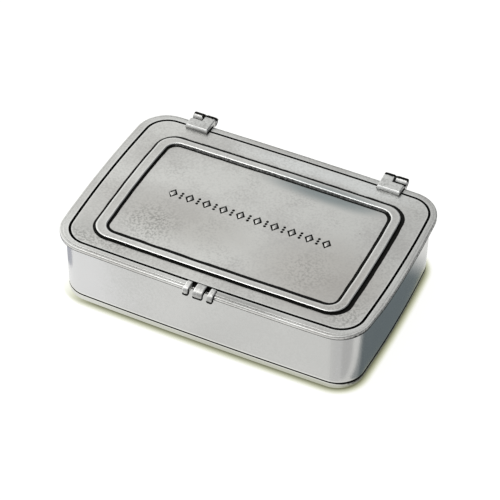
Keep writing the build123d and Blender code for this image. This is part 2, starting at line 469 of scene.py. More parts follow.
def pewterMaterial(name, look):
    material = bpy.data.materials.new(name)
    material.use_nodes = True
    tree = material.node_tree
    shader = tree.nodes["Principled BSDF"]
    placement = addNode(tree, "TexCoord")
    coords, objectNormal = placement.outputs["Object"], placement.outputs["Normal"]
    cloud = noiseNode(coords, look["cloudSize"], 3.0)
    mottle = noiseNode(coords, look["mottleSize"], 4.0, 0.6)
    grain = noiseNode(coords, look["grainSize"], 2.0)

    # tone: broad clouds and a fine mottle
    tone = scaled(cloud, look["cloudShare"], times(mottle, 1 - look["cloudShare"]))
    metal = mixColour(rampNode(tone, *look["toneRamp"]), look["bright"], look["dull"])
    # stains, and patches of painted light and shade
    for centre, reach, share, colour, *side in look["stainsAndShading"]:
        mask = ovalMask(placement, cloud, mottle, centre, reach, share, *side)
        metal = mixColour(mask, metal, colour)
    least = look["patchLeast"]
    patchy = rampNode(noiseNode(coords, look["patchSize"]), *look["patchRamp"])
    patchy = scaled(patchy, 1 - least, least)
    for zone in look["leathery"]:
        patchy = mathNode("ADD", ovalMask(placement, cloud, mottle, *zone), patchy)
    speckle = times(rampNode(mottle, *look["speckleRamp"]), look["mottleTone"])
    metal = mixColour(times(speckle, patchy), metal, look["speckle"])
    polishAndHighlight = addNode(tree, "Attribute", attribute_name="polishAndHighlight").outputs["Fac"]
    # painted highlight on faces turned towards one side
    if look["litSide"]:
        rubbedAndLit = rampNode(facingNode(objectNormal, look["litSide"]), *look["rubbedAndLitFrom"])
        polishAndHighlight = larger(polishAndHighlight, rubbedAndLit)
    # rubbed places lighten with wear and painted highlight; below zero they darken with painted
    # shade
    for share, colour in zip(look["polishHighlightAndShadeShares"], (look["worn"], look["paintedShade"])):
        metal = mixColour(times(polishAndHighlight, share, clamp=True), metal, colour)

    # dark patina and painted shade: painted rings, crevices, sides turned from the light, and small
    # pits
    painted = addNode(tree, "Attribute", attribute_name="patinaAndShade").outputs["Fac"]
    crevice = addNode(tree, "AmbientOcclusion", samples=8, Distance=look["creviceReach"] * mm)
    shade = times(mathNode("SUBTRACT", 1.0, crevice.outputs["AO"]), look["creviceShare"])
    # painted shade on faces turned away from the light
    for side in look["shadedSides"]:
        shade = larger(shade, rampNode(facingNode(objectNormal, side), *look["shadedFrom"]))
    breakup = scaled(mottle, look["patinaAndShadeBreakup"], -look["patinaAndShadeBreakup"] / 2)
    patinaAndShadeShare = rampNode(mathNode("ADD", larger(painted, shade), breakup), *look["patinaAndShadeRamp"])
    patinaAndShadeShare = larger(patinaAndShadeShare, pitMask(coords))

    # gloss: polished edges are smoother, patina is dull
    gloss = look["roughness"] - look["grainGloss"] / 2
    for mask, share in ((grain, "grainGloss"), (cloud, "cloudGloss"), (polishAndHighlight, "polishGloss")):
        gloss = scaled(mask, look[share], gloss)
    gloss = scaled(patinaAndShadeShare, look["patinaAndShadeGloss"], gloss, clamp=True)

    # surface: cast mottle, grain and fine scratches
    height = times(times(mottle, patchy), look["mottleDepth"])
    height = scaled(grain, look["grainDepth"], height)
    height = scaled(scratchMask(coords), -look["scratchDepth"], height)
    bump = addNode(tree, "Bump", Strength=1.0, Distance=mm, Height=height)
    surface = {
        "Base Color": mixColour(patinaAndShadeShare, metal, look["patinaAndShade"]),
        "Metallic": scaled(patinaAndShadeShare, look["patinaAndShadeMetallic"] - 1.0, 1.0),
        "Specular IOR Level": scaled(patinaAndShadeShare, look["patinaAndShadeSpecular"] - 0.5, 0.5),
        "Roughness": gloss,
        "Normal": bump.outputs["Normal"],
    }
    for name, value in surface.items():
        setSocket(shader.inputs[name], value)
    return material


# how the edge of an oval is broken up, and which way a face has to look to have it
ovalEdge = {"cloud": 0.8, "mottle": 0.5, "fade": (0.25, 1.15), "facing": (0.2, 0.6)}


# a soft-edged oval on the faces that look to one side
def ovalMask(placement, cloud, mottle, centre, reach, share, side=(0, 0, 1)):
    (x, y), (wide, deep) = centre, reach
    mapping = addNode(
        placement.id_data, "Mapping", Vector=placement.outputs["Object"],
        Location=(-x / wide, -y / deep, 0), Scale=(1 / (wide * mm), 1 / (deep * mm), 0),
    )
    distance = lengthNode(mapping.outputs["Vector"])
    edge = scaled(cloud, ovalEdge["cloud"], times(mottle, ovalEdge["mottle"]))
    middle = (ovalEdge["cloud"] + ovalEdge["mottle"]) / 2
    edge = mathNode("ADD", distance, mathNode("SUBTRACT", edge, middle))
    inside = mathNode("SUBTRACT", 1.0, rampNode(edge, *ovalEdge["fade"]))
    facing = rampNode(facingNode(placement.outputs["Normal"], side), *ovalEdge["facing"])
    return times(times(inside, facing), share)


# a few small dark pits, one in some of the cells
def pitMask(coords, cell=7.0, radius=0.22, empty=0.88, darkness=0.7):
    cells = addNode(coords.id_data, "TexVoronoi", Vector=coords, Scale=1 / (cell * mm))
    near = mathNode("LESS_THAN", cells.outputs["Distance"], radius / cell)
    colour = addNode(coords.id_data, "SeparateColor", Color=cells.outputs["Color"])
    chosen = mathNode("GREATER_THAN", colour.outputs["Red"], empty)
    return times(times(near, chosen), darkness)


# thin straight scratches, one direction and one shift of the noise for each set
scratches = {"sets": ((35, 0.0), (-20, 3.0), (80, 7.0)), "stretch": 0.035, "width": 0.35,
             "ramp": (0.70, 0.78)}


def scratchMask(coords):
    total = 0.0
    for angle, shift in scratches["sets"]:
        mapping = addNode(
            coords.id_data, "Mapping", Vector=coords, Location=(shift, shift, 0),
            Rotation=(0, 0, math.radians(angle)), Scale=(scratches["stretch"], 1.0, 1.0),
        )
        lines = noiseNode(mapping.outputs["Vector"], scratches["width"], 1.0)
        total = larger(rampNode(lines, *scratches["ramp"]), total)
    return total


# rim with its rounded bead, its seat for the lid and the skirt inside the wall
rimShape = {
    "overhang": 1.9,
    "edgeHeight": 1.55,
    "edgeRound": 0.2,
    "edgeSharper": 0.5,
    "edgeShade": 0.4,  # reach of the painted shade up the edge, and in under it
    "underShade": 0.45,
    "topWidth": 2.95,
    "beadWidth": 1.0,
    "beadDrop": 0.26,
    "beadRound": 0.7,
    "beadFoot": 0.06,  # rounding in the line beside the bead
    "beadWorn": 0.85,  # share of the drop that is worn away on the right
    "faintLine": (1.75, 1.85, 1.95),  # start, middle and end
    "rubbedAndLit": (0.5, 0.25),  # band of wear and painted highlight, from the opening for the lid
    "seamDark": 0.35,  # depth at which the seam is darkest
    "filed": 0.85,  # depth and middle of the place at the corner that was filed down
    "filedAt": (52.0, -28.0),
    "filedReach": 9.0,
    "filedWidth": 2.4,  # how far inwards it has an effect
    "seatDrop": 1.1,
    "ledge": 1.95,
    "ledgeRound": 0.1,
    "wallThickness": 1.6,
    "skirtGap": 0.05,
    "notchWidth": 6.3,
    "notchDepth": 0.6,  # past the opening for the lid
    "notchShade": (0.35, 2.0),  # in front and inside
    "notchSlack": (0.02, 0.1),  # sideways and backwards, for finding its corners
    "overrun": (3.0, 2.0),  # of the notch's cuts, forwards and up or down
    "uneven": (0.07, 9.0, 1.0),  # amount, wave length and seed, here and below
}


# the opening for the lid was filed a little out of true
openingError = {
    "left": 0.2, "right": 0.2,  # shift to the right at the left side, and more at the right
    "back": 0.25, "front": -0.3,  # shift to the back there, and more at the front
    "splay": 0.014, "turned": 0.008,
}


def outOfTrue(point):
    e = openingError
    toFront = 0.5 - point.y / boxPlan["width"]
    toRight = 0.5 + point.x / boxPlan["length"]
    across = e["left"] + toRight * (e["right"] + e["splay"] * point.y)
    along = e["back"] + toFront * (e["front"] + e["turned"] * point.x)
    return Vector((across, along))


def rimLoop(inset):
    first, last = rimShape["beadWidth"], rimShape["topWidth"]
    share = (inset - first) / (last - first)
    if not 0 < share < 1.01:
        share = 0
    # the outer edge is sharper on the right
    sharper = rimShape["edgeSharper"] * inset if inset < first / 2 else 0
    filed = rimShape["filed"] * max(0.0, 1 - inset / rimShape["filedWidth"])
    points = boxLoop(inset)
    moved = []
    for k, point in enumerate(points):
        away = (point - Vector(rimShape["filedAt"])).length / rimShape["filedReach"]
        inwards = outwardAt(points, k) * -filed * math.exp(-away ** 2)
        along = Vector((sharper * towardsRight(point), 0))
        moved.append(point + outOfTrue(point) * share + along + inwards)
    return moved


def lidEdgeLoop(inset):
    return [point + outOfTrue(point) for point in boxLoop(inset)]


# the bead is worn down along the right side
def beadLevel(points, level, start):
    drop = rimHigh.z - level
    inset = rimHigh.x - points[0].x
    if level < start or drop < 0.001 or inset > rimShape["beadWidth"] + rimShape["edgeSharper"]:
        return level
    worn = min(drop, rimShape["beadDrop"]) * rimShape["beadWorn"]
    return [level + worn * towardsRight(point) for point in points]


def makeRim(material):
    s = rimShape
    top = rimHigh.z
    under = top - s["edgeHeight"]
    bead = top - s["beadDrop"]
    seat = top - s["seatDrop"]
    opening = s["topWidth"]
    skirtOut = s["overhang"] + s["wallThickness"] + s["skirtGap"]
    ledgeIn = opening + s["ledge"]
    # dark under the outer edge, a painted shade, with the edge above lighter except on the right
    # and back; the bead darker on the right and back and dimmed except on the right, a painted
    # shade; a faint line; by the opening a band of wear and painted highlight; the seam dark,
    # patina and painted shade
    corners = [
        (s["overhang"], under, 0, 1.0, 0),
        (s["underShade"], under, 0, 0.35, 0),
        (0, under, s["edgeRound"], 1.6, 0),
        (0, under + s["edgeShade"], 0, (0, 0.6, 0.5), (0.4, 0, 0)),
        (0, bead, s["beadRound"], (0, 0.45, 0.42), (-0.15, 0)),
        (s["beadWidth"], bead, s["beadFoot"], (0.25, 0), (-0.4, 0)),
        (s["beadWidth"], top, s["edgeRound"], 0, 0),
        (s["faintLine"][0], top, 0, 0, 0),
        (s["faintLine"][1], top, 0, (0.38, 0), 0),
        (s["faintLine"][2], top, 0, 0, 0),
        (opening - s["rubbedAndLit"][0], top, 0, 0, 0.2),
        (opening - s["rubbedAndLit"][1], top, 0, 0, 0.9),
        (opening, top, s["edgeRound"], 1.2, 0),
        (opening, top - s["seamDark"], 0, 1.5, 0),
        (opening, seat, 0, 1.0, 0),
        (ledgeIn, seat, s["ledgeRound"], 0.2, 0),
        (ledgeIn, rimLow.z, s["ledgeRound"], 0.2, 0),
        (skirtOut, rimLow.z, 0, 0.6, 0),
        (skirtOut, under, 0, 0.8, 0),
    ]
    rings = []
    for points, level, *finish in ringsFrom(softProfile(corners, True), rimLoop, s["uneven"]):
        rings.append((points, beadLevel(points, level, under + s["underShade"]), *finish))
    piece = skinRings("rim_casting", rings, True)
    halfWidth = s["notchWidth"] / 2
    inside = rimLow.y + opening + s["notchDepth"]
    outside = rimLow.y + s["overhang"]
    forwards, upwards = s["overrun"]
    for back, low in ((inside, seat), (outside, under - upwards)):
        corner = (-halfWidth, rimLow.y - forwards, low)
        cutAway(piece, blockMesh(corner, (halfWidth, back, top + upwards)))

    aside, behind = s["notchSlack"]

    # the notch is painted black for the shade in it
    def notchPaint(spot):
        if abs(spot.x) < halfWidth + aside and spot.y < inside + behind:
            return s["notchShade"][spot.y > outside + behind], 0.0

    paintCorners(piece, notchPaint)
    evenNormals(piece)
    place(piece, material, "box", "pewter_cast", "top_rim")


def blockMesh(low, high):
    bm = bmesh.new()
    bmesh.ops.create_cube(bm, size=1.0)
    for vert in bm.verts:
        vert.co = [(high if c > 0 else low)[axis] * mm for axis, c in enumerate(vert.co)]
    return finishMesh("cutter", bm)


wallShape = {
    "jointBevel": 0.19,  # half of the groove between the wall and the base
    "jointStep": 0.03,
    "jointRound": 0.05,
    "rubbedAndLit": (0.2, 0.8),  # band of wear and painted highlight, from the groove
    # painted shade on the top of the wall, under the rim
    "edgeShade": 0.7,
    "uneven": (0.05, 14.0, 4.0),
}


def makeWall(material):
    outer = rimShape["overhang"]
    inner = outer + rimShape["wallThickness"]
    low, high = nodeSpan("wall_band")
    s = wallShape
    groove = low.z + s["jointBevel"]
    # the joint groove dark, and darker on the right, a painted shade; above it a band of wear and
    # painted highlight, with painted shade on the right instead; the top under the rim a painted
    # shade
    corners = [
        (outer + s["jointBevel"], low.z, 0, 1.6, 0),
        (outer + s["jointStep"], groove, s["jointRound"], (0.8, 2.0), (0.3, 0)),
        (outer, groove + s["rubbedAndLit"][0], 0, (0, 0.4), (1.0, 0)),
        (outer, groove + s["rubbedAndLit"][1], 0, 0, 0),
        (outer, high.z - s["edgeShade"], 0, 0, 0),
        (outer, high.z, 0, 1.2, 0),
        (inner, high.z, 0, 0, 0),
        (inner, low.z, 0, 0.5, 0),
    ]
    rings = ringsFrom(softProfile(corners, True), boxLoop, s["uneven"])
    piece = skinRings("wall_sheet", rings, True)
    evenNormals(piece)
    place(piece, material, "box", "pewter_sheet", "wall_band")


baseShape = {
    "edgeHeight": 2.75,
    "bottomRound": 1.5,
    "jointBevel": 0.19,
    "jointRound": 0.08,
    "rubbedAndLit": (0.2, 0.5),
    "fieldGap": 0.05,  # between the wall and the raised field inside it
    "fieldRound": 0.15,
    "flats": (3.0, 1.0),  # ringed part of the flats below and above
}


def makeBase(material):
    s = baseShape
    outer = rimShape["overhang"]
    field = outer + rimShape["wallThickness"] + s["fieldGap"]
    edge = s["edgeHeight"]
    groove = edge - s["jointBevel"]
    # the joint groove dark, and darker on the right, a painted shade; the rounded foot and the band
    # under the groove lighter with wear and painted highlight, with painted shade on the right
    # instead
    corners = [
        (outer + s["flats"][0], 0, 0, 0.3, 0),
        (outer, 0, s["bottomRound"], (0, 0.4), (0.3, 0)),
        (outer, groove - s["rubbedAndLit"][1], 0, (0, 0.55), (0.3, 0)),
        (outer, groove - s["rubbedAndLit"][0], 0, (0, 1.2), (1.0, 0)),
        (outer, groove, s["jointRound"], (0.8, 2.0), (0.3, 0)),
        (outer + s["jointBevel"], edge, 0, 1.6, 0),
        (field, edge, 0, 1.0, 0),
        (field, baseTop, s["fieldRound"], 0.3, 0),
        (field + s["flats"][1], baseTop, 0, 0, 0),
    ]
    rings = ringsFrom(softProfile(corners, False, 7), boxLoop, wallShape["uneven"])
    piece = skinRings("base_sheet", rings, False)
    evenNormals(piece)
    place(piece, material, "box", "pewter_sheet", "base_plate")


# lid with its raised frame, and a row of small punched marks across the middle
lidShape = {
    "inset": 3.4,  # seam and rim together
    "endBand": 7.02,  # flat between the lid's edge and the frame's foot
    "frontBand": 4.75,
    "backBand": 7.55,
    "sideways": (0.475, 0.675),  # outside and inside of the frame were cast a little off centre
    "frameCorner": 6.5,
    "frameInnerCorner": 4.2,
    "endTop": 2.96,  # top of the frame at the ends
    "longTop": 2.35,  # the same along the front and the back
    "frameRun": 0.3,  # run of each sloping side
    "slope": (0.7, 0.62),  # shares of its run and height where it steepens
    "frameRound": 0.34,
    "frameRubbedAndLit": 0.6,
    "frameDip": 0.03,
    "outerEdgeWidth": 0.2,
    "bowShare": 0.5,
    "turned": 0.008,  # its front runs to the back on the right
    "edgeRound": (0.12, 0.24),
    "edgeRubbedAndLit": (0.3, 0.6),
    "seamDark": 0.35,
    "flat": 1.2,  # ringed part of the flats beside its edge
    "uneven": (0.06, 9.0, 1.0),
    "frameUneven": (0.22, 7.0),
    "frameSeeds": (11.0, 15.0),  # outside and inside
    # (share of the stain's reach, patina) from the clean flat to the foot; the patina is partly
    # painted shade
    "stainAndShadeFade": ((1.8, 0), (1.18, 0.05), (0.9, 1.2), (0.45, 1.6)),
    "stainAndShadeUneven": (0.12, 5.0),
    # left, right, back and front: reach of the stain beside the frame's foot, its darkness, and
    # the darkness of the slopes, of the top's outer edge and of the roundings; partly patina in the
    # hollow by the foot and partly painted shade on the sides turned from the light
    "outerStainAndShade": (0.85, 1.05, 1.45, 0.38),
    "innerStainAndShade": (0.5, 0.95, 0.65, 1.5),
    "outerDarkness": (1, 1, 0.55, 1),
    "outerSlope": (0, 1.5, 0.6, 2.5),
    "outerEdge": (0, 0, 0.5, 0),
    "innerSlope": (0.8, 1.5, 0.55, 1.2),
    "outerRound": (0, 0, 0.5, 0.7),
    "innerRound": (0, 0, 0.5, 0),
}
markShape = {
    "centre": (-0.4, 0.5),
    "pitch": 3.05,
    "count": 19,
    "height": 3.5,
    "width": 2.5,
    "stroke": 1.3,
    "depth": 0.35,
    "dotRadius": 0.55,
    "dotTaper": (1.25, 0.45),  # shares of the radius above and at the bottom
    "dotSpread": 1.15,
    "dark": 2.2,
    "overrun": 0.1,
    "slack": 0.02,  # for finding their corners
}


def frameBorder():
    return lidShape["longTop"] + 2 * lidShape["frameRun"]


def frameLoop(offset):
    s = lidShape
    border = frameBorder()
    wider = s["endTop"] - s["longTop"]
    length = boxPlan["length"] - 2 * (s["inset"] + s["endBand"])
    width = boxPlan["width"] - 2 * s["inset"] - s["frontBand"] - s["backBand"]
    bows = (boxPlan["endBow"] * s["bowShare"], boxPlan["sideBow"] * s["bowShare"])
    forward = (s["frontBand"] - s["backBand"]) / 2
    corner = s["frameCorner"] - offset
    inside = offset > border / 2
    if inside:
        length -= 2 * wider
        corner = s["frameInnerCorner"] + border - offset
    loop = planLoop(length - 2 * offset, width - 2 * offset, corner, *bows, forward)
    moved = []
    for point in wander(loop, *s["frameUneven"], s["frameSeeds"][inside]):
        turn = s["turned"] * (0.5 - point.y / boxPlan["width"])
        moved.append(point + Vector((s["sideways"][inside], point.x * turn)))
    return moved


# value on the side of the frame that a point's outward direction belongs to
def sideValue(values, outward):
    left, right, back, front = values
    across = right if outward.x > 0 else left
    along = back if outward.y > 0 else front
    return across * outward.x ** 2 + along * outward.y ** 2


# loop on the flat beside a foot of the frame; way is 1 outside the frame and -1 inside it
def footLoop(footOffset, way, share):
    values = lidShape["outerStainAndShade" if way > 0 else "innerStainAndShade"]
    amount, waveLength = lidShape["stainAndShadeUneven"]
    points = frameLoop(footOffset)
    moved = []
    for k, point in enumerate(points):
        outward = outwardAt(points, k)
        spot = Vector((point.x / waveLength, point.y / waveLength, 5.0 + way))
        reach = sideValue(values, outward) * (1 + amount * noise.noise(spot))
        moved.append(point + outward * way * reach * share)
    return moved


# patina and painted shade, as dark as the side that a point faces calls for
def sidePatinaAndShade(values, points, patinaAndShade=1):
    return [patinaAndShade * sideValue(values, outwardAt(points, k)) for k in range(len(points))]


def footRings(footOffset, way, level):
    rings = []
    for share, patinaAndShade in lidShape["stainAndShadeFade"]:
        points = footLoop(footOffset, way, share)
        if way > 0:
            patinaAndShade = sidePatinaAndShade(lidShape["outerDarkness"], points, patinaAndShade)
        rings.append((points, level, patinaAndShade, 0))
    return rings if way > 0 else list(reversed(rings))


def makeLid(material):
    s = lidShape
    top = rimHigh.z
    height = lidHigh.z - top
    run = s["frameRun"]
    border = frameBorder()
    inset = s["inset"]
    # the lid's edge dark in the seam, patina and painted shade, and beside it a band of wear and
    # painted highlight
    edge = [
        (inset + s["flat"], lidLow.z, 0, 0.1, 0),
        (inset, lidLow.z, s["edgeRound"][0], 0.8, 0),
        (inset, top - s["seamDark"], 0, 1.5, 0),
        (inset, top, s["edgeRound"][1], 1.2, 0),
        (inset + s["edgeRubbedAndLit"][0], top, 0, 0, 0.9),
        (inset + s["edgeRubbedAndLit"][1], top, 0, 0, 0.1),
        (inset + s["flat"], top, 0, 0, 0),
    ]
    ridge = top + height
    steepAt, steepLevel = run * s["slope"][0], top + height * s["slope"][1]
    # the frame's rounded top edges lighter with wear and painted highlight; its feet and slopes
    # dark by the side values, partly patina and partly painted shade
    raised = [
        (0, top, 0, 1.0, 0),
        (steepAt, steepLevel, 0, 1.0, 0),
        (run, ridge, s["frameRound"], 0, 0.8),
        (run + s["frameRubbedAndLit"], ridge, 0, 0, 0.1),
        (border / 2, ridge - s["frameDip"], 0, 0, 0),
        (border - run - s["frameRubbedAndLit"], ridge, 0, 0, 0.1),
        (border - run, ridge, s["frameRound"], 0, 0.8),
        (border - steepAt, steepLevel, 0, 1.0, 0),
        (border, top, 0, 1.0, 0),
    ]
    rings = ringsFrom(softProfile(edge, False), lidEdgeLoop, s["uneven"])
    rings += footRings(0, 1, top)
    for offset, level, patinaAndShade, polishAndHighlight in softProfile(raised, False):
        points = frameLoop(offset)
        if level < steepLevel + 0.005:
            slope = s["innerSlope" if offset > border / 2 else "outerSlope"]
            patinaAndShade = sidePatinaAndShade(slope, points, patinaAndShade)
        elif offset < run or offset > border - run:
            patinaAndShade = sidePatinaAndShade(s["outerRound" if offset < run else "innerRound"], points)
        elif offset < run + s["outerEdgeWidth"]:
            patinaAndShade = sidePatinaAndShade(s["outerEdge"], points)
        rings.append((points, level, patinaAndShade, polishAndHighlight))
    rings += footRings(border, -1, top)
    piece = skinRings("lid_casting", rings, False)
    cutAway(piece, markCutter(top))
    paintCorners(piece, markPaint)
    evenNormals(piece)
    place(piece, material, "lid", "pewter_cast", "lid_plate")


# a closed groove with a V section along a polygon
def addGroove(bm, points, width, depth, level):
    centre = sum(points, Vector((0, 0))) / len(points)
    above = level + markShape["overrun"]
    rows = []
    for share, z in ((width / 2, above), (0, level - depth), (-width / 2, above)):
        row = []
        for point in points:
            spot = point + (point - centre).normalized() * share
            row.append(bm.verts.new((spot.x * mm, spot.y * mm, z * mm)))
        rows.append(row)
    for a, b in ((0, 1), (1, 2), (2, 0)):
        joinRows(bm, rows[a], rows[b])


# a small punched pit
def addPit(bm, x, y, radius, depth, level, sides=10):
    rows = []
    levels = (level + markShape["overrun"], level - depth)
    for share, z in zip(markShape["dotTaper"], levels):
        row = []
        for k in range(sides):
            angle = 2 * math.pi * k / sides
            spot = (x + radius * share * math.cos(angle), y + radius * share * math.sin(angle), z)
            row.append(bm.verts.new([v * mm for v in spot]))
        rows.append(row)
    fillRows(bm, rows)


def markCutter(level):
    s = markShape
    bm = bmesh.new()
    for k in range(s["count"]):
        x = s["centre"][0] + (k - (s["count"] - 1) / 2) * s["pitch"]
        y = s["centre"][1]
        if k % 2 == 0:
            corners = [(0, 0.5), (-0.5, 0), (0, -0.5), (0.5, 0)]
            points = [Vector((x + a * s["width"], y + b * s["height"])) for a, b in corners]
            addGroove(bm, points, s["stroke"], s["depth"], level)
        else:
            for step in (-1, 0, 1):
                addPit(bm, x, y + step * s["dotSpread"], s["dotRadius"], s["depth"], level)
    return finishMesh("cutter", bm)


# black below the surface, clean at its edge
def markPaint(spot):
    s = markShape
    deep = rimHigh.z - spot.z
    within = abs(spot.x) < s["pitch"] * s["count"] / 2 and abs(spot.y) < s["height"]
    if within and -s["slack"] < deep < s["depth"] + s["slack"]:
        return (0.0 if deep < s["slack"] else s["dark"]), 0.0


# small castings: the CAD shape with its edges softened like cast and filed metal
smallCast = {"voxel": 0.09, "keep": 0.35, "unevenness": 0.035, "waveLength": 1.1}


# finishAt gives the patina (partly painted shade) and the polish (partly painted highlight) at a
# place on the casting
def castFrom(node, material, body, softening, finishAt, reshape=None):
    piece = addObject(node + "_casting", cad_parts[node].data.copy())
    remesh = piece.modifiers.new("remesh", "REMESH")
    remesh.mode = "VOXEL"
    remesh.voxel_size = smallCast["voxel"] * mm
    smooth = piece.modifiers.new("smooth", "SMOOTH")
    smooth.factor = 0.5
    smooth.iterations = softening
    piece.modifiers.new("thin", "DECIMATE").ratio = smallCast["keep"]
    bakeModifiers(piece)
    low, high = nodeSpan(node)
    for vert in piece.data.vertices:
        if reshape:
            vert.co = reshape(vert.co / mm, low, high) * mm
        wave = noise.noise_vector(vert.co / (smallCast["waveLength"] * mm))
        vert.co += wave * smallCast["unevenness"] * mm
        for axis in range(3):
            vert.co[axis] = min(max(vert.co[axis], low[axis] * mm), high[axis] * mm)
    for polygon in piece.data.polygons:
        polygon.use_smooth = True
    for name in ("patinaAndShade", "polishAndHighlight"):
        piece.data.attributes.new(name, "FLOAT", "POINT")
    paintCorners(piece, finishAt)
    place(piece, material, body, "pewter_cast", node)


# the backs of the hinges and the gap between the knuckles are painted black, partly patina and
# partly painted shade; the leaves' front edges are lightened, partly wear and partly painted
# highlight
hingeFinish = {
    "softening": 6,
    "darkness": 1.5,
    "black": (38.1, 38.6),
    "clean": (39.8, 40.25),
    "rubbedAndLit": (0.45, 0.65),  # band of wear and painted highlight, from the front edge
    "rubbedAndLitFrom": 0.5,  # above the rim
    "gapFront": (37.3, 0.5),  # y, and half the black width there
    "gapBack": (39.5, 1.6),
    "gapFade": 0.15,
    "gapFoot": (25.0, 25.4),
    "underKnuckle": (25.9, 26.2),
}


def hingeFinishAt(spot):
    s = hingeFinish
    start, stop = (leafLow.y + reach for reach in s["rubbedAndLit"])
    rubbedAndLit = between(spot.z, rimHigh.z + s["rubbedAndLitFrom"], leafHigh.z)
    black = between(spot.y, *s["black"]) * (1 - between(spot.y, *s["clean"]))
    return s["darkness"] * black, rubbedAndLit * (1 - between(spot.y, start, stop))


# the bracket shows its knuckle, which is painted black beside the gap and, on the right, under its
# front, a painted shade
def bracketFinishAt(spot):
    s = hingeFinish
    gapAt = (leafLow.x + leafHigh.x) / 2
    (front, narrow), (back, wide) = s["gapFront"], s["gapBack"]
    width = narrow + (wide - narrow) * between(spot.y, front, back)
    if spot.x < 0:
        black = 1 - between(-spot.x - gapAt, width - s["gapFade"], width)
    else:
        black = 1 - between(spot.z, *s["underKnuckle"])
    black *= s["darkness"] * between(spot.z, *s["gapFoot"])
    return max(hingeFinishAt(spot)[0], black), 0.0


# the catch's pieces are worn round, bend down in one curve and have toes painted black, a painted
# shade
catchFinish = {
    "softening": 50,
    "curveStart": 2.8,
    "curveDrop": 0.55,
    "curveBack": 0.5,
    "toe": (0.6, 1.1),
    "toeDarkness": 1.3,
}


def bendDown(spot, low, high):
    s = catchFinish
    forward = between(low.y + s["curveStart"] - spot.y, 0, s["curveStart"])
    above = 1 - between(high.z - spot.z, 0, high.z - low.z)
    back = s["curveBack"] * forward * above ** 2
    return spot + Vector((0, back, -s["curveDrop"] * forward ** 2 * above))


def catchFinishAt(spot):
    toe = 1 - between(spot.z - catchFloor, *catchFinish["toe"])
    return catchFinish["toeDarkness"] * toe, 0.0


# solder along the foot of each hinge leaf, dark for the solder and for the painted shadow under the
# leaf's front edge
solderShape = {
    "reach": 0.65,
    "height": 0.6,
    "segments": 26,
    "steps": 4,  # of its rounding
    "endGap": 0.5,  # to each end of the leaf
    "under": (0.05, 0.2),  # how far it goes under the leaf, above and below
    "sunk": 0.05,
    "swell": (0.75, 0.5, 0.8),  # mean, variation and wave length of its thickness
    "endSwell": (0.25, 4),  # share of the thickness at an end, and how fast it grows
}


def makeLeafSolder(name, node, material):
    low, high = nodeSpan(node)
    s = solderShape
    left, right = low.x + s["endGap"], high.x - s["endGap"]
    front = low.y + s["under"][0]
    mean, variation, waveLength = s["swell"]
    seed = 1.0 if low.x > 0 else 0.0
    bm = bmesh.new()
    rows = []
    for k in range(s["segments"] + 1):
        x = left + (right - left) * k / s["segments"]
        swell = mean + variation * noise.noise(Vector((x / waveLength, seed, 2.0)))
        fromEnd = min(k, s["segments"] - k) / s["segments"]
        swell *= min(1.0, s["endSwell"][0] + s["endSwell"][1] * fromEnd)
        row = []
        for step in range(s["steps"] + 1):
            angle = step / s["steps"] * math.pi / 2
            y = front - s["reach"] * swell * (1 - math.sin(angle))
            z = rimHigh.z + s["height"] * swell * (1 - math.cos(angle))
            row.append(bm.verts.new((x * mm, y * mm, z * mm)))
        y, z = front + s["under"][1], rimHigh.z - s["sunk"]
        row.append(bm.verts.new((x * mm, y * mm, z * mm)))
        rows.append(row)
    fillRows(bm, rows)
    place(finishMesh(name, bm), material, "lid", "pewter_cast")


# a black disc round the pin in the gap between the knuckles, a painted shadow
gapShadowShape = {"radius": 1.45, "thickness": 0.36, "sides": 28}


def makeGapShadow(name, node, material):
    low, high = nodeSpan(node)
    s = gapShadowShape
    centre = (low + high) / 2
    bm = bmesh.new()
    bmesh.ops.create_cone(
        bm, cap_ends=True, segments=s["sides"], radius1=s["radius"] * mm, radius2=s["radius"] * mm,
        depth=s["thickness"] * mm,
    )
    bmesh.ops.rotate(bm, verts=bm.verts, matrix=Matrix.Rotation(math.pi / 2, 3, "Y"))
    bmesh.ops.translate(bm, verts=bm.verts, vec=centre * mm)
    place(finishMesh(name, bm), material, "box", "pin_metal")


# a black strip in the corner between each side of a leaf and the rim and lid under it, a painted
# shadow
sideShadowShape = {"width": 0.4, "height": 0.35, "tucked": 0.1, "lift": 0.01, "ends": (0.5, 0.6)}


def makeSideShadow(name, node, material):
    low, high = nodeSpan(node)
    s = sideShadowShape
    floor = rimHigh.z + s["lift"]
    ends = (low.y + s["ends"][0], rimHigh.y - s["ends"][1])
    bm = bmesh.new()
    for x, out in ((low.x + s["tucked"], -s["width"]), (high.x - s["tucked"], s["width"])):
        corners = ((x, floor), (x + out, floor), (x, floor + s["height"]))
        rows = [[bm.verts.new((a * mm, y * mm, b * mm)) for a, b in corners] for y in ends]
        fillRows(bm, rows)
    place(finishMesh(name, bm), material, "lid", "pewter_cast")


# floor, light and camera
studio = {
    "floorWidth": 3.0,
    "floorDrop": 0.02,
    "glow": (0.97, 0.97, 0.955),  # what the floor gives to the camera by itself
    "paint": (0.14, 0.14, 0.14),  # what it gives in the light, lost in the shadow
    "plain": (0.8, 0.8, 0.8),  # its colour for the light that it throws back
    "contact": (0.17, 0.175, 0.10),  # its colour close under the box, a painted contact shadow, and how that fades
    "contactFade": (0.74, 0.76, 0.53),
    "contactReach": 2.8,
    "contactRamp": (0.45, 0.97),
    "contactPower": 3.0,
    "openLeft": (-36, -56),  # the contact shadow is lost towards the left
    "mirrored": (0.80, -2.0),  # painted reflection: least lightness of the table as the metal sees it: at x = 0, and its slope
    "mirroredEnd": (53.5, 47),
    "farDim": 0.5,  # how much darker the metal sees the table far off
    "farRamp": (90, 260),
}
